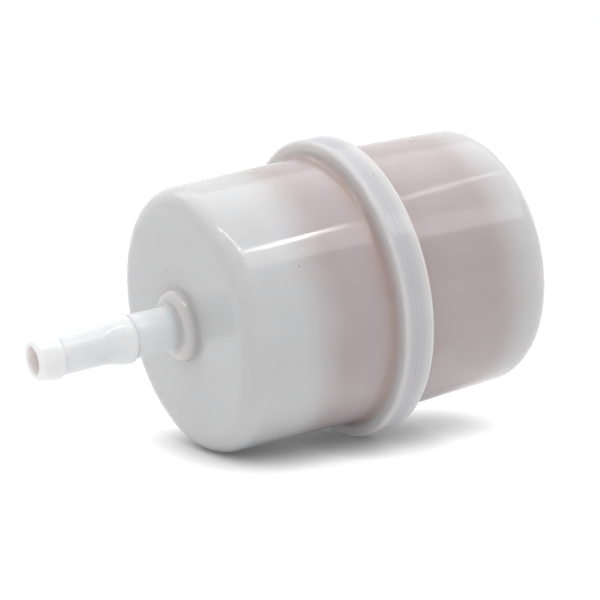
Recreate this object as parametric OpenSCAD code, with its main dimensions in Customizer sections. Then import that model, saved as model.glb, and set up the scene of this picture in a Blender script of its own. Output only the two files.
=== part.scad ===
// In-line fuel filter: two welded nylon cups, a barbed hose spigot on one and
// a welded elbow on the other, and a pleated paper element between two glued
// end caps inside.
// The filter's axis is X. The straight inlet spigot points to -X, and the
// elbow's arm on the outlet cup points to +Y. The origin is on the
// axis, in the plane where the two cups are welded together. Millimetres.

/* [Housing] */
// Outside diameter of both cups at the weld
body_d = 50; // [44:1:60]
// Length of the inlet cup, from the weld to its closed end
inlet_len = 32; // [29:0.5:42]
// Length of the outlet cup, from the weld to its closed end
outlet_len = 32.5; // [26:0.5:42]
// Wall thickness of the cups
wall = 1.8; // [1.4:0.1:2.2]
// Outside corner radius of the closed ends
end_round = 4; // [3:0.25:6]
// How much the radius shrinks for each millimetre away from the weld
draft = 0.022; // [0:0.002:0.04]

/* [Weld flange] */
// How far the flange stands out from the cups
flange_reach = 3; // [2.5:0.1:5]
// Thickness of the inlet cup's lip
lip_t = 2.2; // [1.8:0.1:3]
// Thickness of the outlet cup's flange
flange_t = 3.8; // [2.6:0.1:5]
// Edge radius of the lip
lip_round = 0.8; // [0.4:0.1:1.2]
// Edge radius of the flange's far side
flange_round = 1; // [0.4:0.1:1.5]
// Fillet between each cup and the flange
root_fillet = 1.4; // [0.6:0.1:2]

/* [Hose spigots] */
// Bore of the fuel hose that the spigots are made for
hose_d = 8; // [7:0.5:9]
// Diameter of the fuel bore through each spigot
bore_d = 5; // [4:0.25:5.5]
// Length of the inlet spigot beyond the cup's end
spigot_len = 29.2; // [26:0.2:36]
// How much larger the locking barb is than the hose
barb_rise = 1.2; // [0.6:0.1:1.4]
// Diameter of the round boss at the inlet spigot's foot
boss_d = 13; // [12:0.5:16]
// Height of that boss
boss_h = 2.2; // [1.5:0.1:3]
// Distance from the outlet cup's end to the elbow arm's axis
arm_gap = 7.4; // [7:0.1:12]
// Length of the elbow arm from the filter's axis
arm_len = 34; // [30:0.5:44]

/* [Element] */
// How far the element reaches into the inlet cup
element_reach = 17.5; // [12:0.5:20]
// Number of pleats
pleats = 34; // [26:1:38]
// Thickness of the filter paper
paper_t = 0.5; // [0.3:0.05:0.6]
// Gap between the end caps and the cup for the fuel to pass
flow_gap = 1.1; // [0.8:0.1:2]
// Outside diameter of the centre tube
tube_d = 18.4; // [16:0.2:20]
// Thickness of the end caps' plates
cap_t = 1.2; // [0.8:0.1:1.6]
// Thickness of the adhesive that holds the pleats in each cap
potting_t = 1.3; // [0.8:0.1:2]

/* [Hidden] */
smooth = 96;
// Lets a cut pass right through a face
eps = 0.5;

body_r = body_d / 2;
cavity_r = body_r - wall;
flange_r = body_r + flange_reach;
cavity_round = end_round - wall;

// Weld: a ring of melted nylon set half into each flange
weld_r = cavity_r + 2.1;
weld_w = 1.2;
weld_half = 0.7;

// Spigots, with the places of the barbs counted back from the tip
bore_r = bore_d / 2;
stem_r = hose_d / 2;
neck_r = stem_r - 0.3;
barb_r = stem_r + barb_rise / 2;
tip_r = neck_r + 0.05;
tip_barb_r = neck_r + 0.45;
tip_chamfer = 0.7;
tip_crest = [3.6, 4.3];
tip_shoulder = 4.9;
ramp_start = 13.2;
crest = [16.9, 18.2];
barb_shoulder = 18.7;
boss_round = 1.8;
tip_x = inlet_len + spigot_len;
core_r = bore_r + 0.5;
core_x = inlet_len + boss_h + 0.2;

// Elbow
arm_x = outlet_len + arm_gap;
elbow_r = stem_r + 0.6;
knuckle_r = elbow_r + 0.2;
elbow_bore_r = bore_r + 0.1;
elbow_foot_r = elbow_r + 2;
elbow_foot_h = 1.6;
elbow_weld_r = elbow_r + 0.7;
elbow_weld_w = 0.6;
elbow_weld_half = 0.4;

// Element neck in its socket, sealed by a squeezed O-ring
socket_clear = 0.15;
neck_out_r = 6;
neck_in_r = 3.2;
neck_len = 3.8;
neck_tip_gap = 0.8;
socket_r = neck_out_r + socket_clear;
socket_out_r = socket_r + 1.8;
seal_r = 0.8;
seal_mid_r = socket_r - seal_r;
groove_w = 1.9;
groove_mid = 2;

// Element from the inlet side to the outlet side
front_x = -element_reach;
rear_x = outlet_len - wall - neck_tip_gap - neck_len;
cap_rim_t = 0.8;
cap_rim_h = 3;
cap_r = cavity_r - draft * rear_x - flow_gap;
cap_in_r = cap_r - cap_rim_t;
front_plate_x = front_x + cap_t;
rear_plate_x = rear_x - cap_t;
paper_from = front_plate_x + potting_t;
paper_to = rear_plate_x - potting_t;

tube_r = tube_d / 2;
tube_wall = 1;
tube_len = rear_plate_x - front_plate_x;
hole_r = 1.5;
hole_smooth = 32;
hole_rows = 6;
hole_count = 8;
hole_margin = 5;

// Centreline of the folded paper
paper_clear = 0.15;
fold_out_r = cap_in_r - paper_clear - paper_t / 2;
fold_in_r = tube_r + paper_clear + paper_t / 2;
pleat_step = 360 / pleats;
fold_out_w = 1.3;
fold_in_w = 0.75;

// Adhesive bead in the valley where the paper's two ends meet
seam_from = 0.55;
seam_to = 0.85;

// Moulded ribs that press the element on its seat
rib_t = 1.4;
rib_from = 4;
rib_to = 11;
rib_count = 4;
rib_sink = 0.4;

// Part to draw

// Turns a profile of [radius, x] points round the filter's axis.
module spin_x() {
    rotate([0, 90, 0])
        rotate_extrude($fn = smooth)
            children();
}

// Turns a profile of [radius, y] points round the elbow arm's axis.
module spin_arm() {
    translate([arm_x, 0, 0])
        rotate([-90, 0, 0])
            rotate_extrude($fn = smooth)
                children();
}

// Profile of a ring between two radii and two places on the axis.
module ring_profile(r1, r2, x1, x2) {
    translate([r1, min(x1, x2)])
        square([r2 - r1, abs(x2 - x1)]);
}

// Profile of a cup's outer or inner shape: a drafted wall and a closed end
// with a round corner. side is -1 towards the inlet and 1 towards the outlet.
module cup_profile(r, len, corner, side) {
    slope = atan(draft);
    mid_x = len - corner;
    mid_r = r - draft * mid_x - corner / cos(slope);
    translate([mid_r, side * mid_x])
        circle(r = corner, $fn = smooth);
    polygon([
        [0, 0],
        [r, 0],
        [mid_r + corner * cos(slope), side * (mid_x + corner * sin(slope))],
        [mid_r, side * len],
        [0, side * len]
    ]);
}

// Profile of a flange from the weld plane outwards, with one round edge.
module flange_profile(t, edge, side) {
    translate([flange_r - edge, side * (t - edge)])
        circle(r = edge, $fn = smooth);
    polygon([
        [0, 0],
        [flange_r, 0],
        [flange_r, side * (t - edge)],
        [flange_r - edge, side * t],
        [0, side * t]
    ]);
}

// Profile of the fillet between a cup's wall and its flange.
module fillet_profile(t, side) {
    foot_r = body_r - draft * t;
    difference() {
        ring_profile(foot_r - wall / 2, foot_r + root_fillet,
                     side * (t - eps), side * (t + root_fillet));
        translate([foot_r + root_fillet, side * (t + root_fillet)])
            circle(r = root_fillet, $fn = smooth);
    }
}

// Profile of a barbed spigot from its base to its tip.
module spigot_profile(base, tip, side) {
    polygon([
        [0, side * base],
        [stem_r, side * base],
        [stem_r, side * (tip - barb_shoulder)],
        [barb_r, side * (tip - crest[1])],
        [barb_r, side * (tip - crest[0])],
        [neck_r, side * (tip - ramp_start)],
        [neck_r, side * (tip - tip_shoulder)],
        [tip_barb_r, side * (tip - tip_crest[1])],
        [tip_barb_r, side * (tip - tip_crest[0])],
        [tip_r, side * (tip - tip_chamfer)],
        [tip_r - tip_chamfer, side * tip],
        [0, side * tip]
    ]);
}

// Profile of the round boss at the inlet spigot's foot.
module boss_profile() {
    boss_r = boss_d / 2;
    top_x = inlet_len + boss_h;
    translate([boss_r - boss_round, -(top_x - boss_round)])
        circle(r = boss_round, $fn = smooth);
    ring_profile(0, boss_r, -(inlet_len - eps), -(top_x - boss_round));
    ring_profile(0, boss_r - boss_round, -(inlet_len - eps), -top_x);
}

// Profile of the weld ring, and of the groove that each flange has for it.
module weld_profile() {
    ring_profile(weld_r, weld_r + weld_w, -weld_half, weld_half);
}

// Profile of the elbow's weld ring, and of its grooves.
module elbow_weld_profile() {
    ring_profile(elbow_weld_r, elbow_weld_r + elbow_weld_w,
                 outlet_len - elbow_weld_half, outlet_len + elbow_weld_half);
}

// Inlet cup with its lip, boss, barbed spigot and inner ribs, in one moulding.
module inlet_housing() {
    color([0.93, 0.92, 0.9])
    union() {
        spin_x()
            difference() {
                union() {
                    cup_profile(body_r, inlet_len, end_round, -1);
                    flange_profile(lip_t, lip_round, -1);
                    fillet_profile(lip_t, -1);
                    boss_profile();
                    spigot_profile(inlet_len - eps, tip_x, -1);
                }
                cup_profile(cavity_r, inlet_len - wall, cavity_round, -1);
                ring_profile(0, bore_r, -(inlet_len - wall - eps), -(tip_x + eps));
                ring_profile(0, core_r, -(inlet_len - wall - eps), -core_x);
                weld_profile();
            }
        for (i = [0 : rib_count - 1])
            rotate([45 + i * 360 / rib_count, 0, 0])
                translate([-(inlet_len - wall + rib_sink), -rib_t / 2, rib_from])
                    cube([inlet_len - wall + rib_sink + front_x, rib_t,
                          rib_to - rib_from]);
    }
}

// Outlet cup with its flange and the socket for the element's neck.
module outlet_housing() {
    color([0.93, 0.92, 0.9])
    spin_x()
        difference() {
            union() {
                cup_profile(body_r, outlet_len, end_round, 1);
                flange_profile(flange_t, flange_round, 1);
                fillet_profile(flange_t, 1);
            }
            difference() {
                cup_profile(cavity_r, outlet_len - wall, cavity_round, 1);
                ring_profile(socket_r, socket_out_r, rear_x, outlet_len);
            }
            ring_profile(0, elbow_r, outlet_len - wall - eps, outlet_len + eps);
            weld_profile();
            elbow_weld_profile();
        }
}

// Elbow on the outlet cup's end: a plug and foot, a neck and a barbed arm.
module outlet_elbow() {
    color([0.93, 0.92, 0.9])
    difference() {
        union() {
            spin_x() {
                ring_profile(0, elbow_r, outlet_len - wall, arm_x);
                difference() {
                    ring_profile(0, elbow_foot_r, outlet_len,
                                 outlet_len + elbow_foot_h);
                    elbow_weld_profile();
                }
            }
            translate([arm_x, 0, 0])
                sphere(r = knuckle_r, $fn = smooth);
            spin_arm()
                spigot_profile(0, arm_len, 1);
        }
        spin_x()
            ring_profile(0, elbow_bore_r, outlet_len - wall - eps,
                         arm_x + bore_r);
        spin_arm()
            ring_profile(0, bore_r, 0, arm_len + eps);
    }
}

// Bead of melted nylon that joins the two flanges.
module weld_ring() {
    color([0.88, 0.85, 0.78])
    spin_x()
        weld_profile();
}

// Closed end cap on the inlet side of the element.
module front_cap() {
    color([0.9, 0.88, 0.84])
    spin_x() {
        ring_profile(0, cap_r, front_x, front_plate_x);
        ring_profile(cap_in_r, cap_r, front_x, front_x + cap_rim_h);
    }
}

// Open end cap on the outlet side, with the neck that fits the socket.
module rear_cap() {
    color([0.9, 0.88, 0.84])
    spin_x()
        difference() {
            union() {
                ring_profile(neck_in_r, cap_r, rear_plate_x, rear_x);
                ring_profile(cap_in_r, cap_r, rear_x - cap_rim_h, rear_x);
                ring_profile(neck_in_r, neck_out_r, rear_plate_x,
                             rear_x + neck_len);
            }
            ring_profile(seal_mid_r - seal_r, neck_out_r + eps,
                         rear_x + groove_mid - groove_w / 2,
                         rear_x + groove_mid + groove_w / 2);
        }
}

// Ring of adhesive that seals the pleats into the closed cap.
module front_potting() {
    color([0.8, 0.72, 0.5])
    spin_x()
        ring_profile(tube_r, cap_in_r, front_plate_x, paper_from);
}

// Ring of adhesive that seals the pleats into the open cap.
module rear_potting() {
    color([0.8, 0.72, 0.5])
    spin_x()
        ring_profile(tube_r, cap_in_r, paper_to, rear_plate_x);
}

// Perforated tube that keeps the pleats from collapsing.
module centre_tube() {
    row_pitch = (tube_len - 2 * hole_margin) / (hole_rows - 1);
    color([0.85, 0.84, 0.8])
    difference() {
        spin_x()
            ring_profile(tube_r - tube_wall, tube_r, front_plate_x,
                         rear_plate_x);
        for (row = [0 : hole_rows - 1])
            for (i = [0 : hole_count - 1])
                rotate([(i + (row % 2) / 2 + 0.25) * 360 / hole_count, 0, 0])
                    translate([front_plate_x + hole_margin + row * row_pitch,
                               0, tube_r - tube_wall - eps])
                        cylinder(h = tube_wall + 2 * eps, r = hole_r,
                                 $fn = hole_smooth);
    }
}

// A point at a radius and an angle, moved sideways by w.
function fold_point(r, angle, w) =
    [r * cos(angle) - w * sin(angle), r * sin(angle) + w * cos(angle)];

// Centreline corners of the folded paper, four to a pleat.
fold_line = [
    for (i = [0 : pleats - 1])
        for (k = [0 : 3])
            k < 2
                ? fold_point(fold_in_r, i * pleat_step,
                             (k - 0.5) * fold_in_w)
                : fold_point(fold_out_r, (i + 0.5) * pleat_step,
                             (k - 2.5) * fold_out_w)
];

// Unit normal of the fold line's leg from corner i to the next one.
function leg_normal(i) =
    let (
        n = len(fold_line),
        d = fold_line[(i + 1) % n] - fold_line[(i + n) % n]
    )
    [d[1], -d[0]] / norm(d);

// Corner i moved out from the centreline by w, with a mitred corner.
function fold_offset(i, w) =
    let (
        n = len(fold_line),
        a = leg_normal((i + n - 1) % n),
        b = leg_normal(i)
    )
    fold_line[i] + w * (a + b) / (1 + a * b);

// One sheet of paper folded into a star round the centre tube.
module pleated_paper() {
    color([0.85, 0.66, 0.66])
    translate([paper_from, 0, 0])
        rotate([0, 90, 0])
            linear_extrude(height = paper_to - paper_from)
                difference() {
                    polygon([
                        for (i = [0 : len(fold_line) - 1])
                            fold_offset(i, paper_t / 2)
                    ]);
                    polygon([
                        for (i = [0 : len(fold_line) - 1])
                            fold_offset(i, -paper_t / 2)
                    ]);
                }
}

// A point on the paper's outer face beside the first valley: 0 at the inner
// fold and 1 at the outer fold, and side -1 or 1 of the valley.
function valley_point(share, side) =
    let (
        corner = side > 0 ? 1 : 0,
        from = fold_offset(corner, paper_t / 2),
        to = fold_offset(side > 0 ? 2 : len(fold_line) - 1, paper_t / 2)
    )
    from + share * (to - from);

// Bead of adhesive in the valley where the sheet's ends are joined.
module seam_bead() {
    color([0.8, 0.72, 0.5])
    translate([paper_from, 0, 0])
        rotate([0, 90, 0])
            linear_extrude(height = paper_to - paper_from)
                polygon([
                    valley_point(seam_from, -1),
                    valley_point(seam_to, -1),
                    valley_point(seam_to, 1),
                    valley_point(seam_from, 1)
                ]);
}

// Bead of melted nylon that joins the elbow's foot to the outlet cup.
module elbow_weld() {
    color([0.88, 0.85, 0.78])
    spin_x()
        elbow_weld_profile();
}

// O-ring round the element's neck.
module neck_seal() {
    color([0.1, 0.1, 0.1])
    spin_x()
        translate([seal_mid_r, rear_x + groove_mid])
            circle(r = seal_r, $fn = smooth);
}

inlet_housing();
outlet_housing();
outlet_elbow();
weld_ring();
elbow_weld();
front_cap();
rear_cap();
front_potting();
rear_potting();
centre_tube();
pleated_paper();
seam_bead();
neck_seal();
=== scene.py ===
"""Looks of an in-line fuel filter, built round its CAD frame.

Everything is in metres in the part's own frame: the filter's axis is X, the
inlet spigot points to -X and the outlet elbow's arm to +Y. Sizes in the
classes are millimetres, because that is how a maker would write them.
"""

from __future__ import annotations

import logging
import math
from dataclasses import dataclass, field
from enum import Enum
from typing import Any, Optional, Sequence

import bmesh
import bpy
from bmesh.types import BMesh, BMEdge, BMVert
from mathutils import Matrix, Vector, noise

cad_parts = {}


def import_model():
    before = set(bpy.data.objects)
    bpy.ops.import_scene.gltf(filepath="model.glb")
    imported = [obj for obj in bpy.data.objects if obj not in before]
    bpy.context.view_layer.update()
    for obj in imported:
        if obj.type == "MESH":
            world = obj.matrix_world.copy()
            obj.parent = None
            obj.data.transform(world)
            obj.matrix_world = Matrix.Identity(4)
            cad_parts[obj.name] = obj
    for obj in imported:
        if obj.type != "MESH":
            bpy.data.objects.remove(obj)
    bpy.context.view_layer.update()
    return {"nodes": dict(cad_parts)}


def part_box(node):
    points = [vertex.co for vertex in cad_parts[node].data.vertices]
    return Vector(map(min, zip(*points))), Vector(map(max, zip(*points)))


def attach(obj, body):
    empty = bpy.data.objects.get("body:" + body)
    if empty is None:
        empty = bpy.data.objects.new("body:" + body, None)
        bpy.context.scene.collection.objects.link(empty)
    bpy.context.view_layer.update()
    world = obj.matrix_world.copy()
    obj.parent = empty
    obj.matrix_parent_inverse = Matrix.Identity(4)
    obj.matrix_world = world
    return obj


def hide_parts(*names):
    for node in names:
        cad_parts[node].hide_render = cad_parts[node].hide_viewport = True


MM = 0.001
BODY = "root"
LOG = logging.getLogger("fuel_filter")


class Shade(Enum):
    """The object's colours, as sRGB hex values."""

    MILK = "C0C0C1"
    # Painted light, on the spigot and the lip's face.
    PAINTED_LIGHT = "DEDEDF"
    PINK = "A39396"
    AMBER = "B49A8B"
    RIM = "B1B0B4"
    BURNT = "6B5E55"
    CREAM = "D6D2C6"
    WELD = "D0C4AC"
    PAPER = "B07A78"
    PAPER_DARK = "935E5E"
    GLUE = "C6A86A"
    CAP = "D8D4CC"
    NITRILE = "141414"
    FLOOR = "505050"
    GLOW = "FFFFFF"


def linear(shade: str) -> tuple[float, float, float, float]:
    """Turns an sRGB hex value to a linear colour.

    Args:
        shade: Six hex digits.

    Returns:
        Linear red, green, blue and an alpha of 1.
    """
    parts = [int(shade[i : i + 2], 16) / 255 for i in (0, 2, 4)]
    turned = [p / 12.92 if p <= 0.04045 else ((p + 0.055) / 1.055) ** 2.4 for p in parts]
    return (turned[0], turned[1], turned[2], 1.0)


def add_node(
    tree: bpy.types.NodeTree,
    kind: str,
    values: Optional[dict[Any, Any]] = None,
    links: Optional[dict[Any, bpy.types.NodeSocket]] = None,
    **settings: Any,
) -> bpy.types.Node:
    """Adds a node with its settings and links.

    Args:
        tree: The material's node tree.
        kind: The node's type name.
        values: Input name or number to its fixed value.
        links: Input name or number to the output that feeds it.
        **settings: Attributes of the node, such as a blend type.

    Returns:
        The new node.
    """
    node = tree.nodes.new(kind)
    for key, setting in settings.items():
        setattr(node, key, setting)
    for key, value in (values or {}).items():
        node.inputs[key].default_value = value
    for key, source in (links or {}).items():
        tree.links.new(source, node.inputs[key])
    return node


def mixed(
    tree: bpy.types.NodeTree,
    amount: bpy.types.NodeSocket,
    first: Shade | bpy.types.NodeSocket,
    second: Shade | bpy.types.NodeSocket,
) -> bpy.types.NodeSocket:
    """Mixes two colours, each fixed or fed by a node.

    Args:
        tree: The material's node tree.
        amount: How much of the second colour shows, from 0 to 1.
        first: The colour at 0.
        second: The colour at 1.

    Returns:
        The mixed colour.
    """
    node = add_node(tree, "ShaderNodeMix", data_type="RGBA")
    tree.links.new(amount, node.inputs[0])
    for number, colour in ((6, first), (7, second)):
        if isinstance(colour, Shade):
            node.inputs[number].default_value = linear(colour.value)
        else:
            tree.links.new(colour, node.inputs[number])
    return node.outputs[2]


def times(
    tree: bpy.types.NodeTree, first: bpy.types.NodeSocket, second: bpy.types.NodeSocket | float
) -> bpy.types.NodeSocket:
    """Multiplies an output by another or by a fixed number.

    Args:
        tree: The material's node tree.
        first: The output.
        second: The other output, or the number.

    Returns:
        The product.
    """
    node = add_node(tree, "ShaderNodeMath", links={0: first}, operation="MULTIPLY")
    if isinstance(second, float):
        node.inputs[1].default_value = second
    else:
        tree.links.new(second, node.inputs[1])
    return node.outputs[0]


def soft_step(
    tree: bpy.types.NodeTree,
    along: bpy.types.NodeSocket,
    start_mm: float,
    end_mm: float,
    low: float = 0.0,
    high: float = 1.0,
) -> bpy.types.NodeSocket:
    """Makes a soft step between two places.

    Args:
        tree: The material's node tree.
        along: The place, in metres.
        start_mm: Where the step starts.
        end_mm: Where it ends.
        low: The value before the step.
        high: The value after it.

    Returns:
        The step's value.
    """
    return add_node(
        tree,
        "ShaderNodeMapRange",
        values={
            "From Min": start_mm * MM,
            "From Max": end_mm * MM,
            "To Min": low,
            "To Max": high,
        },
        links={"Value": along},
        interpolation_type="SMOOTHSTEP",
    ).outputs["Result"]


def new_material(name: str) -> tuple[bpy.types.Material, bpy.types.NodeTree]:
    """Makes an empty node material.

    Args:
        name: The real material's name.

    Returns:
        The material and its node tree, with no nodes in it.
    """
    material = bpy.data.materials.new(name)
    material.use_nodes = True
    material.node_tree.nodes.clear()
    return material, material.node_tree


@dataclass(frozen=True)
class MilkyPolyamide:
    """Natural polyamide, injection moulded in a polished tool.

    The eye sees a milky, waxy white with a wet gloss: light soaks a few
    millimetres into the wall, so edges glow softly and what lies close behind
    the wall shows through as a blurred tint. Its colour also holds painted
    light on the spigot and the lip's face, and painted shade round the boss.
    """

    name: str = "polyamide_milky"
    body: Shade = Shade.MILK
    behind: Shade = Shade.PINK
    amber: Shade = Shade.AMBER
    # The lighter colour painted on the spigot and the lip's face: painted light.
    clear: Shade = Shade.PAINTED_LIGHT
    rim: Shade = Shade.RIM
    burnt: Shade = Shade.BURNT
    # Where the spigot's painted light starts, and how strong the lip face's painted glow is.
    painted_light_from_mm: float = 33.5
    lip_glow: float = 0.15
    # How strong the painted shade round the boss is.
    boss_shadow_tint: float = 0.07
    foot_tint: float = 0.45
    element_from_mm: float = -15.0
    element_to_mm: float = 26.0
    blur_mm: float = 10.0
    show_through: float = 0.8
    wall_from_mm: float = 20.0
    soak_mm: float = 4.0
    cloud_mm: float = 14.0
    wobble_mm: float = 3.0
    speck_gap_mm: float = 9.0
    flow_mm: float = 5.0
    roughness: float = 0.09
    ior: float = 1.53

    def build(self) -> bpy.types.Material:
        """Builds the material.

        Returns:
            The finished material, in Object coordinates.
        """
        material, tree = new_material(self.name)
        place = add_node(tree, "ShaderNodeTexCoord").outputs["Object"]
        parts = add_node(tree, "ShaderNodeSeparateXYZ", links={0: place}).outputs
        along = parts["X"]
        ring = add_node(
            tree, "ShaderNodeCombineXYZ", values={0: 0.0}, links={1: parts["Y"], 2: parts["Z"]}
        ).outputs[0]
        radius = add_node(
            tree, "ShaderNodeVectorMath", links={0: ring}, operation="LENGTH"
        ).outputs["Value"]
        from_joint = add_node(
            tree, "ShaderNodeMath", links={0: along}, operation="ABSOLUTE"
        ).outputs[0]
        on_wall = times(
            tree,
            soft_step(tree, radius, self.wall_from_mm - 3, self.wall_from_mm + 2),
            soft_step(tree, radius, 25.1, 26.4, 1.0, 0.0),
        )
        # The two halves are fused at the weld, so no light is lost between them.
        whole = soft_step(tree, from_joint, 0.9, 2.4)
        tint = self._element_tint(tree, place, along, on_wall)
        colour = mixed(tree, tint, self.body, self.behind)
        # Amber at the flange's foot, and painted shade round the boss.
        amber_and_boss_shadow = self._foot_tint_and_boss_shadow(tree, from_joint, radius, on_wall)
        colour = mixed(tree, amber_and_boss_shadow, colour, self.amber)
        colour = mixed(tree, whole, self.rim, colour)
        # Painted light: the spigot and the lip's face are painted lighter.
        colour = mixed(tree, self._painted_light_places(tree, along, radius), colour, self.clear)
        colour = mixed(tree, self._specks(tree, place), colour, self.burnt)
        rough, bump = self._gloss(tree, place)
        shader = add_node(
            tree,
            "ShaderNodeBsdfPrincipled",
            values={
                "Subsurface Radius": (1.0, 0.82, 0.74),
                "Subsurface Scale": self.soak_mm * MM,
                "IOR": self.ior,
            },
            links={
                "Base Color": colour,
                "Subsurface Weight": whole,
                "Roughness": rough,
                "Normal": bump,
            },
        )
        shader.subsurface_method = "RANDOM_WALK"
        add_node(tree, "ShaderNodeOutputMaterial", links={"Surface": shader.outputs[0]})
        return material

    def _element_tint(
        self,
        tree: bpy.types.NodeTree,
        place: bpy.types.NodeSocket,
        along: bpy.types.NodeSocket,
        on_wall: bpy.types.NodeSocket,
    ) -> bpy.types.NodeSocket:
        """Finds how much of the paper shows through, blurred by gap and wall.

        Args:
            tree: The material's node tree.
            place: The place on the piece.
            along: The place along the axis.
            on_wall: 1 on the cup's side wall.

        Returns:
            The paper's share of the colour.
        """
        # Slow clouds, about 14 mm across, where the melt cooled unevenly.
        clouds = add_node(
            tree,
            "ShaderNodeTexNoise",
            values={"Scale": 1 / (self.cloud_mm * MM), "Detail": 2.0, "Roughness": 0.5},
            links={"Vector": place},
        ).outputs["Fac"]
        wobble = add_node(
            tree,
            "ShaderNodeMath",
            values={1: self.wobble_mm * MM},
            links={0: clouds, 2: along},
            operation="MULTIPLY_ADD",
        ).outputs[0]
        half = self.blur_mm / 2
        starts, ends = (
            soft_step(tree, wobble, edge - half, edge + half)
            for edge in (self.element_from_mm, self.element_to_mm)
        )
        span = add_node(
            tree,
            "ShaderNodeMath",
            links={0: starts, 1: ends},
            operation="SUBTRACT",
            use_clamp=True,
        ).outputs[0]
        # Thin places let a little more of the paper through.
        uneven = add_node(
            tree,
            "ShaderNodeMapRange",
            values={"From Min": 0.3, "From Max": 0.7, "To Min": 0.82, "To Max": 1.0},
            links={"Value": clouds},
        ).outputs["Result"]
        shown = times(tree, times(tree, span, on_wall), self.show_through)
        return times(tree, shown, uneven)

    def _foot_tint_and_boss_shadow(
        self,
        tree: bpy.types.NodeTree,
        from_joint: bpy.types.NodeSocket,
        radius: bpy.types.NodeSocket,
        on_wall: bpy.types.NodeSocket,
    ) -> bpy.types.NodeSocket:
        """Finds a warm amber tint at the flange's foot, and painted shade round the boss.

        Args:
            tree: The material's node tree.
            from_joint: How far from the weld plane.
            radius: How far from the axis.
            on_wall: 1 on the cup's side wall.

        Returns:
            The amber's share of the colour: a tint at the flange's foot, and painted shade round
            the boss.
        """
        # A warm amber tint on the side wall next to the flange.
        foot = times(tree, soft_step(tree, from_joint, 3.0, 7.5, 1.0, 0.0), on_wall)
        # Painted shade: a warm, darker tint near the axis round the boss, where its shadow falls
        # on the end face.
        boss_shadow = soft_step(tree, radius, 6.5, 11.0, self.boss_shadow_tint, 0.0)
        return add_node(
            tree,
            "ShaderNodeMath",
            links={0: times(tree, foot, self.foot_tint), 1: boss_shadow},
            operation="MAXIMUM",
        ).outputs[0]

    def _painted_light_places(
        self,
        tree: bpy.types.NodeTree,
        along: bpy.types.NodeSocket,
        radius: bpy.types.NodeSocket,
    ) -> bpy.types.NodeSocket:
        """Finds where light is painted in, as light crossing from behind: the spigot and the
        lip's face.

        Args:
            tree: The material's node tree.
            along: The place along the axis.
            radius: How far from the axis.

        Returns:
            The painted light's share of the colour.
        """
        # Painted light over the spigot, from the boss out to the tip.
        spigot = soft_step(tree, along, -self.painted_light_from_mm, -(self.painted_light_from_mm + 3))
        # Painted glow on the lip's face.
        lip = times(
            tree,
            soft_step(tree, along, -1.0, -2.2, 0.0, self.lip_glow),
            soft_step(tree, radius, 24.9, 26.2),
        )
        return add_node(
            tree, "ShaderNodeMath", links={0: spigot, 1: lip}, operation="MAXIMUM"
        ).outputs[0]

    def _specks(
        self, tree: bpy.types.NodeTree, place: bpy.types.NodeSocket
    ) -> bpy.types.NodeSocket:
        """Scatters a few specks of burnt resin, up to 0.3 mm across.

        Args:
            tree: The material's node tree.
            place: The place on the piece.

        Returns:
            The burnt resin's share of the colour.
        """
        cells = add_node(
            tree,
            "ShaderNodeTexVoronoi",
            values={"Scale": 1 / (self.speck_gap_mm * MM)},
            links={"Vector": place},
        )
        return add_node(
            tree,
            "ShaderNodeMapRange",
            values={"From Min": 0.012, "From Max": 0.022, "To Min": 0.75, "To Max": 0.0},
            links={"Value": cells.outputs["Distance"]},
        ).outputs["Result"]

    def _gloss(
        self, tree: bpy.types.NodeTree, place: bpy.types.NodeSocket
    ) -> tuple[bpy.types.NodeSocket, bpy.types.NodeSocket]:
        """Makes the faint flow marks that a polished tool leaves in the gloss.

        Args:
            tree: The material's node tree.
            place: The place on the piece.

        Returns:
            The roughness and the bumped normal.
        """
        flow = add_node(
            tree,
            "ShaderNodeTexNoise",
            values={"Scale": 1 / (self.flow_mm * MM), "Detail": 3.0, "Roughness": 0.55},
            links={"Vector": place},
        ).outputs["Fac"]
        rough = add_node(
            tree,
            "ShaderNodeMapRange",
            values={"To Min": self.roughness - 0.04, "To Max": self.roughness + 0.06},
            links={"Value": flow},
        ).outputs["Result"]
        bump = add_node(
            tree,
            "ShaderNodeBump",
            values={"Strength": 0.12, "Distance": 0.02 * MM},
            links={"Height": flow},
        ).outputs["Normal"]
        return rough, bump


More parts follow.
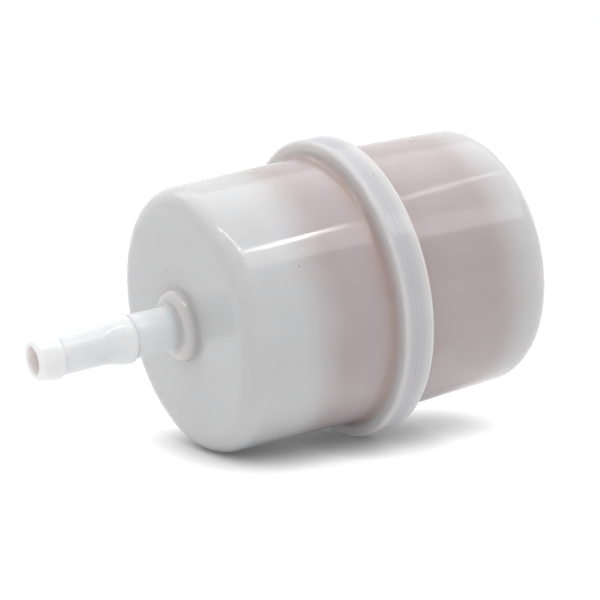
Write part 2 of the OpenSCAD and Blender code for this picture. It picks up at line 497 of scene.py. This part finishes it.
@dataclass(frozen=True)
class PlainFinish:
    """A finish of one colour that varies a little, with grain and bump."""

    name: str
    colour: Shade
    dark: Shade
    grain_mm: float
    roughness: float
    bump_mm: float
    ior: float = 1.5
    soak_mm: float = 0.0
    stretch: tuple[float, float, float] = (1.0, 1.0, 1.0)

    def build(self) -> bpy.types.Material:
        """Builds the material.

        Returns:
            The finished material, in Object coordinates.
        """
        material, tree = new_material(self.name)
        place = add_node(tree, "ShaderNodeTexCoord").outputs["Object"]
        place = add_node(
            tree, "ShaderNodeMapping", values={"Scale": self.stretch}, links={"Vector": place}
        ).outputs[0]
        grain = add_node(
            tree,
            "ShaderNodeTexNoise",
            values={"Scale": 1 / (self.grain_mm * MM), "Detail": 5.0, "Roughness": 0.6},
            links={"Vector": place},
        ).outputs["Fac"]
        spread = add_node(
            tree,
            "ShaderNodeMapRange",
            values={"From Min": 0.3, "From Max": 0.7},
            links={"Value": grain},
        ).outputs["Result"]
        colour = mixed(tree, spread, self.dark, self.colour)
        rough = add_node(
            tree,
            "ShaderNodeMapRange",
            values={
                "To Min": max(self.roughness - 0.08, 0.02),
                "To Max": min(self.roughness + 0.08, 1.0),
            },
            links={"Value": grain},
        ).outputs["Result"]
        bump = add_node(
            tree,
            "ShaderNodeBump",
            values={"Strength": 0.5, "Distance": self.bump_mm * MM},
            links={"Height": grain},
        ).outputs["Normal"]
        values: dict[Any, Any] = {"IOR": self.ior}
        if self.soak_mm:
            values["Subsurface Weight"] = 1.0
            values["Subsurface Radius"] = (1.0, 0.8, 0.6)
            values["Subsurface Scale"] = self.soak_mm * MM
        shader = add_node(
            tree,
            "ShaderNodeBsdfPrincipled",
            values=values,
            links={"Base Color": colour, "Roughness": rough, "Normal": bump},
        )
        add_node(tree, "ShaderNodeOutputMaterial", links={"Surface": shader.outputs[0]})
        return material


@dataclass(frozen=True)
class Corner:
    """One corner of a turned profile, in millimetres.

    soft is how far the corner's rounding reaches along both of its edges.
    """

    x: float
    r: float
    soft: float = 0.0


def finish_piece(
    bm: BMesh, name: str, material: bpy.types.Material, nodes: Sequence[str]
) -> bpy.types.Object:
    """Makes an object of a finished bmesh and ties it to the CAD.

    Args:
        bm: The mesh, in metres in the row's frame. It is freed.
        name: The piece's name.
        material: Its finish.
        nodes: The CAD nodes that it stands for.

    Returns:
        The new object.
    """
    mesh = bpy.data.meshes.new(name)
    bm.to_mesh(mesh)
    bm.free()
    mesh.materials.append(material)
    mesh.shade_smooth()
    mesh.set_sharp_from_angle(angle=math.radians(38))
    piece = bpy.data.objects.new(name, mesh)
    bpy.context.scene.collection.objects.link(piece)
    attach(piece, BODY)
    if nodes:
        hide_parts(*nodes)
    LOG.info("%s: %d faces", name, len(mesh.polygons))
    return piece


def flat_shading(piece: bpy.types.Object) -> None:
    """Keeps big faces flat beside rounded edges.

    Args:
        piece: The object that gets a Weighted Normal modifier.
    """
    weigh = piece.modifiers.new("flat_faces", "WEIGHTED_NORMAL")
    weigh.keep_sharp = True
    weigh.weight = 100


def turned(corners: Sequence[Corner], steps: int, arc: int = 7) -> BMesh:
    """Spins a closed profile round the filter's axis.

    Args:
        corners: The profile's corners in order, none of them on the axis.
        steps: How many faces go round.
        arc: How many faces round each soft corner.

    Returns:
        A closed shell in metres.
    """
    bm = bmesh.new()
    verts = [bm.verts.new((c.x * MM, 0.0, c.r * MM)) for c in corners]
    bm.faces.new(verts)
    for soft in sorted({c.soft for c in corners if c.soft > 0}):
        bmesh.ops.bevel(
            bm,
            geom=[v for v, c in zip(verts, corners) if c.soft == soft],
            offset=soft * MM,
            offset_type="OFFSET",
            segments=arc,
            profile=0.5,
            affect="VERTICES",
            clamp_overlap=True,
            material=-1,
        )
    bmesh.ops.delete(bm, geom=bm.faces[:], context="FACES_ONLY")
    bmesh.ops.spin(
        bm,
        geom=bm.verts[:] + bm.edges[:],
        cent=(0, 0, 0),
        axis=(1, 0, 0),
        angle=math.tau,
        steps=steps,
        use_merge=True,
        use_duplicate=False,
    )
    bmesh.ops.remove_doubles(bm, verts=bm.verts[:], dist=1e-8)
    bmesh.ops.recalc_face_normals(bm, faces=bm.faces[:])
    return bm


@dataclass(frozen=True)
class WeldGroove:
    """The groove for the weld between the cups, in one cup's rim."""

    deep: float
    from_cavity: float = 2.1
    to_cavity: float = 3.3

    def corners(self, cavity: float) -> list[Corner]:
        """Lists the groove's corners.

        Args:
            cavity: The cup's inner radius at the rim.

        Returns:
            Corners from the inner edge to the outer one.
        """
        low, high = cavity + self.from_cavity, cavity + self.to_cavity
        return [
            Corner(0.0, low),
            Corner(self.deep, low),
            Corner(self.deep, high),
            Corner(0.0, high),
        ]


@dataclass(frozen=True)
class ElbowGroove:
    """The groove for the elbow's weld, the same in the cup and in the foot."""

    in_r: float = 5.3
    out_r: float = 5.9
    deep: float = 0.4


@dataclass
class Spigot:
    """A barbed hose spigot, its stations counted back from the tip."""

    stem_r: float = 4.0
    neck_r: float = 3.7
    barb_r: float = 4.6
    tip_barb_r: float = 4.15
    tip_r: float = 3.75
    bore_r: float = 2.5
    crest: tuple[float, float] = (16.9, 18.2)
    shoulder: float = 18.7
    ramp: float = 13.2
    tip_crest: tuple[float, float] = (3.6, 4.3)
    tip_shoulder: float = 4.9
    tip_soft: float = 0.9

    def stations(self) -> list[Corner]:
        """Lists the outside from the tip's mouth to the stem.

        Returns:
            Corners whose x is the distance back from the tip.
        """
        return [
            Corner(0.0, self.bore_r, 0.25),
            Corner(0.0, self.tip_r, self.tip_soft),
            Corner(self.tip_crest[0], self.tip_barb_r, 0.4),
            Corner(self.tip_crest[1], self.tip_barb_r, 0.25),
            Corner(self.tip_shoulder, self.neck_r, 0.25),
            Corner(self.ramp, self.neck_r, 0.8),
            Corner(self.crest[0], self.barb_r, 0.6),
            Corner(self.crest[1], self.barb_r, 0.3),
            Corner(self.shoulder, self.stem_r, 0.3),
        ]


@dataclass
class InletCup:
    """The cup with the straight spigot, its boss and the flange's thin lip."""

    finish: MilkyPolyamide
    spigot: Spigot = field(default_factory=Spigot)
    body_r: float = 25.0
    wall: float = 1.8
    draft: float = 0.022
    length: float = 32.0
    end_soft: float = 4.0
    flange_r: float = 28.0
    lip_t: float = 2.2
    lip_soft: float = 0.8
    boss_r: float = 6.5
    boss_h: float = 2.2
    core_r: float = 3.0
    rib_t: float = 1.4
    rib_from: float = 4.0
    rib_to: float = 11.0
    element_x: float = -17.5
    weld: WeldGroove = field(default_factory=lambda: WeldGroove(-0.7))

    def corners(self) -> list[Corner]:
        """Lists the cup's whole section.

        Returns:
            The corners of a closed profile.
        """
        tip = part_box("inlet_housing")[0].x / MM
        end, inner = -self.length, -(self.length - self.wall)
        outside = [
            Corner(0.0, self.flange_r, 0.05),
            Corner(-self.lip_t, self.flange_r, self.lip_soft),
            Corner(-self.lip_t, self.body_r - self.draft * self.lip_t, 1.4),
            Corner(end, self.body_r - self.draft * self.length, self.end_soft),
            Corner(end, self.boss_r, 0.6),
            Corner(end - self.boss_h, self.boss_r, 1.8),
            Corner(end - self.boss_h, self.spigot.stem_r, 0.75),
        ]
        spigot = [Corner(tip + s.x, s.r, s.soft) for s in reversed(self.spigot.stations())]
        cavity = self.body_r - self.wall
        inside = [
            Corner(end - self.boss_h - 0.2, self.spigot.bore_r),
            Corner(end - self.boss_h - 0.2, self.core_r),
            Corner(inner, self.core_r, 0.3),
            Corner(inner, cavity - self.draft * (self.length - self.wall), 2.2),
            Corner(0.0, cavity, 0.2),
        ]
        return outside + spigot + inside + self.weld.corners(cavity)

    def build(self) -> list[bpy.types.Object]:
        """Builds the cup and its inner ribs.

        Returns:
            The pieces made.
        """
        bm = turned(self.corners(), steps=160)
        self._add_ribs(bm)
        cup = finish_piece(
            bm, "inlet_cup", self.finish.build(), ["inlet_housing"]
        )
        flat_shading(cup)
        return [cup]

    def _add_ribs(self, bm: BMesh) -> None:
        """Adds the four moulded ribs that press on the element.

        Args:
            bm: The cup's mesh.
        """
        start = -(self.length - self.wall)
        long, tall = self.element_x - start, self.rib_to - self.rib_from
        for turn in range(4):
            rib = bmesh.ops.create_cube(bm, size=1.0)["verts"]
            bmesh.ops.scale(
                bm, verts=rib, vec=(long * MM, self.rib_t * MM, tall * MM)
            )
            bmesh.ops.translate(
                bm,
                verts=rib,
                vec=((start + long / 2) * MM, 0.0, (self.rib_from + tall / 2) * MM),
            )
            edges = list({e for v in rib for e in v.link_edges})
            made = bmesh.ops.bevel(
                bm,
                geom=edges,
                offset=0.2 * MM,
                segments=2,
                profile=0.5,
                affect="EDGES",
                clamp_overlap=True,
                material=-1,
            )
            verts = list({v for f in made["faces"] for v in f.verts})
            bmesh.ops.rotate(
                bm,
                verts=verts,
                cent=(0, 0, 0),
                matrix=Matrix.Rotation(math.radians(45 + 90 * turn), 3, "X"),
            )


@dataclass
class OutletCup:
    """The other cup, with the thick flange and the element's socket."""

    finish: MilkyPolyamide
    body_r: float = 25.0
    wall: float = 1.8
    draft: float = 0.022
    length: float = 32.5
    end_soft: float = 4.0
    flange_r: float = 28.0
    flange_t: float = 3.8
    flange_soft: float = 1.0
    hole_r: float = 4.6
    socket_r: float = 6.15
    socket_out_r: float = 7.95
    seat_x: float = 26.1
    weld: WeldGroove = field(default_factory=lambda: WeldGroove(0.7))
    elbow_weld: ElbowGroove = field(default_factory=ElbowGroove)

    def corners(self) -> list[Corner]:
        """Lists the cup's whole section.

        Returns:
            The corners of a closed profile.
        """
        end, inner, cavity = self.length, self.length - self.wall, self.body_r - self.wall
        groove = self.elbow_weld
        return [
            Corner(0.0, self.flange_r, 0.05),
            Corner(self.flange_t, self.flange_r, self.flange_soft),
            Corner(self.flange_t, self.body_r - self.draft * self.flange_t, 1.4),
            Corner(end, self.body_r - self.draft * end, self.end_soft),
            Corner(end, groove.out_r),
            Corner(end - groove.deep, groove.out_r),
            Corner(end - groove.deep, groove.in_r),
            Corner(end, groove.in_r),
            Corner(end, self.hole_r),
            Corner(inner, self.hole_r),
            Corner(inner, self.socket_r, 0.15),
            Corner(self.seat_x, self.socket_r, 0.25),
            Corner(self.seat_x, self.socket_out_r, 0.25),
            Corner(inner, self.socket_out_r, 0.5),
            Corner(inner, cavity - self.draft * inner, 2.2),
            Corner(0.0, cavity, 0.2),
            *self.weld.corners(cavity),
        ]

    def build(self) -> list[bpy.types.Object]:
        """Builds the cup.

        Returns:
            The pieces made.
        """
        cup = finish_piece(
            turned(self.corners(), steps=160),
            "outlet_cup",
            self.finish.build(),
            ["outlet_housing"],
        )
        flat_shading(cup)
        return [cup]


@dataclass
class OutletElbow:
    """A smooth quarter bend with a plug, a foot and a barbed arm."""

    finish: MilkyPolyamide
    spigot: Spigot = field(default_factory=Spigot)
    plug_x: float = 30.7
    foot_x: float = 32.5
    foot_h: float = 1.6
    foot_r: float = 6.6
    pipe_r: float = 4.6
    bore_r: float = 2.6
    bend_r: float = 4.9
    bend_steps: int = 16
    arm_x: float = 39.9
    elbow_weld: ElbowGroove = field(default_factory=ElbowGroove)

    def build(self) -> list[bpy.types.Object]:
        """Builds the elbow.

        Returns:
            The pieces made.
        """
        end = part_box("outlet_elbow")[1].y / MM
        bm = bmesh.new()
        self._sweep(bm, self._neck_stations(), self._arm_stations(end), end)
        bmesh.ops.remove_doubles(bm, verts=bm.verts[:], dist=1e-7)
        bmesh.ops.recalc_face_normals(bm, faces=bm.faces[:])
        elbow = finish_piece(
            bm, "outlet_bend", self.finish.build(), ["outlet_elbow"]
        )
        flat_shading(elbow)
        return [elbow]

    def _neck_stations(self) -> list[tuple[float, float]]:
        """Lists the outside from the plug to the bend.

        Returns:
            Pairs of a place along X and a radius.
        """
        foot_end, groove = self.foot_x + self.foot_h, self.elbow_weld
        return [
            (self.plug_x, self.pipe_r - 0.25),
            (self.plug_x + 0.25, self.pipe_r),
            (self.foot_x, self.pipe_r),
            (self.foot_x, groove.in_r),
            (self.foot_x + groove.deep, groove.in_r),
            (self.foot_x + groove.deep, groove.out_r),
            (self.foot_x, groove.out_r),
            (self.foot_x, self.foot_r - 0.15),
            (self.foot_x + 0.15, self.foot_r),
            (foot_end - 0.6, self.foot_r),
            (foot_end - 0.18, self.foot_r - 0.18),
            (foot_end, self.foot_r - 0.6),
            (foot_end, self.pipe_r + 0.35),
            (foot_end + 0.1, self.pipe_r + 0.1),
            (foot_end + 0.35, self.pipe_r),
            (self.arm_x - self.bend_r, self.pipe_r),
        ]

    def _arm_stations(self, end: float) -> list[tuple[float, float]]:
        """Lists the arm's outside from the bend to the tip, with soft barbs.

        Args:
            end: The tip's place along Y.

        Returns:
            Pairs of a place along Y and a radius.
        """
        s = self.spigot
        return [
            (self.bend_r + 1.6, s.stem_r),
            (end - s.shoulder - 0.25, s.stem_r),
            (end - s.shoulder + 0.1, s.stem_r + 0.1),
            (end - s.crest[1] - 0.15, s.barb_r - 0.1),
            (end - s.crest[1] + 0.25, s.barb_r),
            (end - s.crest[0] - 0.3, s.barb_r),
            (end - s.crest[0] + 0.4, s.barb_r - 0.07),
            (end - s.ramp - 0.6, s.neck_r + 0.1),
            (end - s.ramp + 0.4, s.neck_r),
            (end - s.tip_shoulder - 0.2, s.neck_r),
            (end - s.tip_shoulder + 0.05, s.neck_r + 0.05),
            (end - s.tip_crest[1] - 0.1, s.tip_barb_r - 0.05),
            (end - s.tip_crest[1] + 0.15, s.tip_barb_r),
            (end - s.tip_crest[0], s.tip_barb_r),
            (end - s.tip_soft, s.tip_r),
            (end - 0.16, s.tip_r - 0.16),
            (end, s.tip_r - s.tip_soft),
        ]

    def _sweep(
        self,
        bm: BMesh,
        neck: Sequence[tuple[float, float]],
        arm: Sequence[tuple[float, float]],
        end: float,
        around: int = 64,
    ) -> None:
        """Sweeps the skin out to the tip, then the bore back to the plug.

        Args:
            bm: The mesh to add to.
            neck: Pairs of a place along X and a radius before the bend.
            arm: Pairs of a place along Y and a radius after the bend.
            end: The tip's place along Y.
            around: How many faces go round the pipe.
        """
        x, r = neck[0]
        first = bmesh.ops.create_circle(bm, segments=around, radius=r * MM)["verts"]
        bmesh.ops.rotate(
            bm, verts=first, cent=(0, 0, 0), matrix=Matrix.Rotation(math.pi / 2, 3, "Y")
        )
        bmesh.ops.translate(bm, verts=first, vec=(x * MM, 0, 0))
        edges = list({e for v in first for e in v.link_edges})
        start_r = r
        for place, radius in neck[1:]:
            edges = self._next_ring(bm, edges, Vector((place - x, 0, 0)), radius / r)
            x, r = place, radius
        edges = self._bend(bm, edges, math.pi / 2)
        y = self.bend_r
        bore = self.spigot.bore_r
        back = [(end - 0.2, bore), (end * 0.5, bore), (y, self.bore_r)]
        for place, radius in [*arm, (end, bore + 0.2), *back]:
            edges = self._next_ring(bm, edges, Vector((0, place - y, 0)), radius / r)
            y, r = place, radius
        edges = self._bend(bm, edges, -math.pi / 2)
        for place, radius in [(neck[0][0], r), (neck[0][0], start_r)]:
            edges = self._next_ring(bm, edges, Vector((place - x, 0, 0)), radius / r)
            x, r = place, radius

    def _bend(self, bm: BMesh, edges: Sequence[BMEdge], angle: float) -> list[BMEdge]:
        """Turns a ring of edges round the bend's centre.

        Args:
            bm: The mesh.
            edges: The last ring's edges.
            angle: How far to turn, in radians.

        Returns:
            The new ring's edges.
        """
        made = bmesh.ops.spin(
            bm,
            geom=list(edges) + list({v for e in edges for v in e.verts}),
            cent=((self.arm_x - self.bend_r) * MM, self.bend_r * MM, 0),
            axis=(0, 0, 1),
            angle=angle,
            steps=self.bend_steps,
            use_duplicate=False,
        )["geom_last"]
        return [g for g in made if isinstance(g, BMEdge)]

    @staticmethod
    def _next_ring(
        bm: BMesh, edges: Sequence[BMEdge], move: Vector, grow: float
    ) -> list[BMEdge]:
        """Extrudes a ring of edges to the pipe's next station.

        Args:
            bm: The mesh.
            edges: The last ring's edges.
            move: How far the new ring goes, in millimetres.
            grow: Its radius over the last one's.

        Returns:
            The new ring's edges.
        """
        made = bmesh.ops.extrude_edge_only(bm, edges=list(edges))["geom"]
        verts: list[BMVert] = [g for g in made if isinstance(g, BMVert)]
        ring: list[BMEdge] = [
            g for g in made if isinstance(g, BMEdge) and all(v in verts for v in g.verts)
        ]
        centre = sum((v.co for v in verts), Vector()) / len(verts)
        bmesh.ops.scale(
            bm, verts=verts, vec=(grow, grow, grow), space=Matrix.Translation(-centre)
        )
        bmesh.ops.translate(bm, verts=verts, vec=move * MM)
        return ring


@dataclass
class PleatedElement:
    """Resin-treated paper folded into a star round the centre tube."""

    finish: PlainFinish
    pleats: int = 34
    inner_r: float = 9.62
    outer_r: float = 20.3
    inner_w: float = 0.36
    outer_w: float = 0.62
    paper_t: float = 0.46
    rows: int = 14
    drift: float = 0.1

    def build(self) -> list[bpy.types.Object]:
        """Builds the folded sheet.

        Returns:
            The pieces made.
        """
        low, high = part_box("pleated_paper")
        bm = bmesh.new()
        step = math.tau / self.pleats
        wire = self._fold(step)
        verts = [bm.verts.new((low.x, y * MM, z * MM)) for y, z in wire]
        for a, b in zip(verts, verts[1:]):
            bm.edges.new((a, b))
        bmesh.ops.spin(
            bm,
            geom=bm.verts[:] + bm.edges[:],
            cent=(0, 0, 0),
            axis=(1, 0, 0),
            angle=math.tau - step,
            steps=self.pleats - 1,
            use_duplicate=True,
        )
        bmesh.ops.remove_doubles(bm, verts=bm.verts[:], dist=1e-6)
        edges = bm.edges[:]
        pace = (high.x - low.x) / self.rows
        for _ in range(self.rows):
            made = bmesh.ops.extrude_edge_only(bm, edges=edges)["geom"]
            new = [g for g in made if isinstance(g, BMVert)]
            fresh = set(new)
            edges = [
                g for g in made if isinstance(g, BMEdge) and all(v in fresh for v in g.verts)
            ]
            bmesh.ops.translate(bm, verts=new, vec=(pace, 0, 0))
        self._wander(bm, low.x, high.x)
        bmesh.ops.recalc_face_normals(bm, faces=bm.faces[:])
        paper = finish_piece(
            bm, "pleat_star", self.finish.build(), ["pleated_paper"]
        )
        thick = paper.modifiers.new("paper_thickness", "SOLIDIFY")
        thick.thickness = self.paper_t * MM
        thick.offset = 0.0
        return [paper]

    def _fold(self, step: float) -> list[tuple[float, float]]:
        """Lists one pleat's section, from one inner fold to the next.

        Args:
            step: The angle of one pleat.

        Returns:
            Pairs of Y and Z in millimetres.
        """
        points: list[tuple[float, float]] = []
        for angle, radius, width, sign in (
            (0.0, self.inner_r, self.inner_w, 1.0),
            (step / 2, self.outer_r, self.outer_w, -1.0),
        ):
            for part in range(5):
                turn = math.pi * (part / 4 - 0.5)
                side = width * math.sin(turn)
                lift = radius - sign * width * math.cos(turn)
                points.append(
                    (
                        lift * math.cos(angle) - side * math.sin(angle),
                        lift * math.sin(angle) + side * math.cos(angle),
                    )
                )
        y, z = points[0]
        points.append(
            (y * math.cos(step) - z * math.sin(step), y * math.sin(step) + z * math.cos(step))
        )
        return points

    def _wander(self, bm: BMesh, low: float, high: float) -> None:
        """Bends the folds a little between the caps, as hand-set paper is.

        Args:
            bm: The sheet's mesh.
            low: Where the sheet starts along the axis.
            high: Where it ends.
        """
        for vert in bm.verts:
            free = math.sin(math.pi * (vert.co.x - low) / (high - low))
            pull = noise.noise_vector(vert.co / (9 * MM)) * self.drift * MM * free
            vert.co.y += pull.y
            vert.co.z += pull.z


@dataclass
class InnerParts:
    """The element's caps, glue, tube and seals, which keep their CAD shapes."""

    finishes: dict[str, PlainFinish]

    def dress(self, nodes: dict[str, bpy.types.Object]) -> None:
        """Gives each CAD piece its finish.

        Args:
            nodes: The frame's CAD objects by name.
        """
        made: dict[str, bpy.types.Material] = {}
        for name, finish in self.finishes.items():
            if finish.name not in made:
                made[finish.name] = finish.build()
            piece = nodes[name]
            for slot in piece.material_slots:
                slot.material = made[finish.name]
            LOG.info("%s: %s", name, finish.name)


@dataclass(frozen=True)
class SoftBox:
    """A level soft box over the filter, facing down at it.

    place, long and wide are in metres, run is the level direction that the
    long side runs along, as X and Y, and power is in watts.
    """

    name: str
    place: tuple[float, float, float]
    run: tuple[float, float]
    long: float
    wide: float
    power: float

    def hang(self) -> None:
        """Adds the light to the scene."""
        light = bpy.data.lights.new(self.name, "AREA")
        light.shape = "RECTANGLE"
        light.size, light.size_y, light.energy = self.long, self.wide, self.power
        lamp = bpy.data.objects.new(self.name, light)
        lamp.location = self.place
        lamp.rotation_euler = (0.0, 0.0, math.atan2(self.run[1], self.run[0]))
        bpy.context.scene.collection.objects.link(lamp)


# The big box overhead shows its front edge in both cups, and the tubes inside
# it draw a bright line along each.
SOFT_BOXES = (
    SoftBox("soft_box_top", (0.34, 0.05, 0.62), (0.86, -0.51), 1.8, 1.1, 5.1),
    SoftBox("soft_box_front", (0.515, -0.572, 0.615), (0.86, -0.51), 0.9, 0.22, 0.7),
    SoftBox("light_tube_near", (0.312, -0.339, 0.61), (0.60, 0.80), 0.055, 0.028, 0.1),
    SoftBox("light_tube_far", (0.433, -0.122, 0.61), (0.49, 0.87), 0.12, 0.03, 0.04),
    SoftBox("light_tube_left", (-0.03, -0.21, 0.61), (0.77, -0.64), 0.6, 0.045, 0.75),
)


@dataclass
class Studio:
    """A pale glowing table, a lit sheet, a white tent and soft boxes."""

    table_tilt_deg: float = 7.68
    table_drop: float = 27.95
    table_half: float = 40000.0
    shadow_reach: float = 11.0
    sheet_gap: float = 30.0
    sheet_half: float = 1600.0
    sheet_back: float = 1100.0
    glow: float = 0.93
    tent_strength: float = 0.74
    azimuth_deg: float = -29.26
    elevation_deg: float = 12.66
    roll_deg: float = 6.78
    distance: float = 407.97
    aim: tuple[float, float, float] = (-5.76, 2.83, -1.53)
    lens: float = 132.0

    def build(self) -> None:
        """Builds the table, the lights and the camera."""
        self._table()
        self._backdrop()
        self._tent()
        for box in SOFT_BOXES:
            box.hang()
        self._camera()

    def _tilt(self) -> Matrix:
        """The table's tilt: the flange and the inlet cup's rim rest on it."""
        return Matrix.Rotation(math.radians(self.table_tilt_deg), 4, "Y")

    @staticmethod
    def _flat(name: str, half: float, place: Matrix, material: bpy.types.Material) -> None:
        """Adds a flat square that belongs to the studio.

        Args:
            name: Its name.
            half: Half its side, in millimetres.
            place: Turns and moves it from the XY plane.
            material: Its finish.
        """
        bm = bmesh.new()
        bmesh.ops.create_grid(bm, x_segments=1, y_segments=1, size=half * MM)
        bmesh.ops.transform(bm, verts=bm.verts[:], matrix=place)
        mesh = bpy.data.meshes.new(name)
        bm.to_mesh(mesh)
        bm.free()
        mesh.materials.append(material)
        flat = bpy.data.objects.new(name, mesh)
        bpy.context.scene.collection.objects.link(flat)

    def _table(self) -> None:
        """Makes the table that the flange and the inlet rim rest on."""
        material, tree = new_material("acrylic_light_table_painted_shadow")
        # The table glows from below; near the filter the glow is dimmed, which paints the contact
        # shadow.
        near = add_node(
            tree,
            "ShaderNodeAmbientOcclusion",
            values={"Distance": self.shadow_reach * MM},
            samples=8,
        ).outputs["AO"]
        glow = add_node(
            tree,
            "ShaderNodeMapRange",
            values={"From Min": 0.06, "From Max": 0.82, "To Min": 0.08, "To Max": self.glow},
            links={"Value": near},
        ).outputs["Result"]
        shader = add_node(
            tree,
            "ShaderNodeBsdfPrincipled",
            values={
                "Base Color": linear(Shade.FLOOR.value),
                "Roughness": 0.6,
                "Emission Color": linear(Shade.GLOW.value),
            },
            links={"Emission Strength": glow},
        )
        add_node(tree, "ShaderNodeOutputMaterial", links={"Surface": shader.outputs[0]})
        down = Matrix.Translation((0.0, 0.0, -self.table_drop * MM))
        self._flat("table", self.table_half, self._tilt() @ down, material)

    def _backdrop(self) -> None:
        """Hangs a lit white sheet behind the table, clear of it and level with it."""
        material, tree = new_material("lit_sheet")
        glow = add_node(tree, "ShaderNodeEmission", values={"Color": linear(Shade.GLOW.value)})
        add_node(tree, "ShaderNodeOutputMaterial", links={"Surface": glow.outputs[0]})
        lift = self.sheet_half + self.sheet_gap - self.table_drop
        place = (
            self._tilt()
            @ Matrix.Rotation(math.radians(self.azimuth_deg), 4, "Z")
            @ Matrix.Translation((0.0, self.sheet_back * MM, lift * MM))
            @ Matrix.Rotation(math.pi / 2, 4, "X")
        )
        self._flat("backdrop", self.sheet_half, place, material)

    def _tent(self) -> None:
        """Makes the even white surroundings."""
        world = bpy.data.worlds.new("tent")
        world.use_nodes = True
        world.node_tree.nodes.clear()
        tree = world.node_tree
        back = add_node(
            tree,
            "ShaderNodeBackground",
            values={"Color": (1.0, 1.0, 1.0, 1.0), "Strength": self.tent_strength},
        )
        add_node(tree, "ShaderNodeOutputWorld", links={"Surface": back.outputs[0]})
        bpy.context.scene.world = world

    def _camera(self) -> None:
        """Adds the camera, low and off the inlet side."""
        turn, rise = math.radians(self.azimuth_deg), math.radians(self.elevation_deg)
        back = Vector(
            (math.sin(turn) * math.cos(rise), -math.cos(turn) * math.cos(rise), math.sin(rise))
        )
        data = bpy.data.cameras.new("camera")
        data.lens, data.sensor_width = self.lens, 36.0
        data.clip_start, data.clip_end = 0.01, 20.0
        camera = bpy.data.objects.new("camera", data)
        camera.location = (Vector(self.aim) + back * self.distance) * MM
        level = (-back).to_track_quat("-Z", "Y").to_matrix()
        roll = Matrix.Rotation(math.radians(self.roll_deg), 3, -back)
        camera.rotation_euler = (roll @ level).to_euler()
        bpy.context.scene.collection.objects.link(camera)
        bpy.context.scene.camera = camera
        bpy.context.scene.view_settings.view_transform = "Standard"


def inner_finishes() -> dict[str, PlainFinish]:
    """Lists the finish of each inner CAD piece.

    Returns:
        CAD node name to its finish.
    """
    # Satin natural polyamide: the caps are moulded in a plain tool.
    cap = PlainFinish("polyamide_satin", Shade.CAP, Shade.CREAM, 2.5, 0.42, 0.02, 1.53, 1.2)
    # Cured polyurethane potting: honey coloured, with a soft self-levelled gloss.
    glue = PlainFinish("polyurethane_potting", Shade.GLUE, Shade.WELD, 3.0, 0.3, 0.05, 1.5, 0.8)
    # Welded polyamide that was melted twice, so it has yellowed a little.
    weld = PlainFinish("polyamide_weld", Shade.WELD, Shade.CREAM, 1.0, 0.35, 0.05, 1.53, 1.0)
    # Nitrile rubber: black, with the dull bloom of a moulded ring.
    rubber = PlainFinish("nitrile_rubber", Shade.NITRILE, Shade.NITRILE, 0.4, 0.55, 0.01, 1.52)
    return {
        "front_cap": cap,
        "rear_cap": cap,
        "centre_tube": cap,
        "front_potting": glue,
        "rear_potting": glue,
        "seam_bead": glue,
        "weld_ring": weld,
        "elbow_weld": weld,
        "neck_seal": rubber,
    }


def main() -> None:
    """Builds the filter's pieces in order, then the studio round them."""
    logging.basicConfig(level=logging.INFO, format="%(message)s")
    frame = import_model()
    nylon = MilkyPolyamide()
    InletCup(nylon).build()
    OutletCup(nylon).build()
    # The elbow has no element behind it, so nothing shows through.
    OutletElbow(MilkyPolyamide("polyamide_milky_elbow", show_through=0.0)).build()
    # Phenolic-resin filter paper: dull pink, with a felted, fibrous face.
    paper = PlainFinish(
        "filter_paper", Shade.PAPER, Shade.PAPER_DARK, 0.6, 0.85, 0.08, 1.45, 0.0, (1.0, 2.5, 2.5)
    )
    PleatedElement(paper).build()
    InnerParts(inner_finishes()).dress(frame["nodes"])
    Studio().build()


if __name__ == "__main__":
    main()
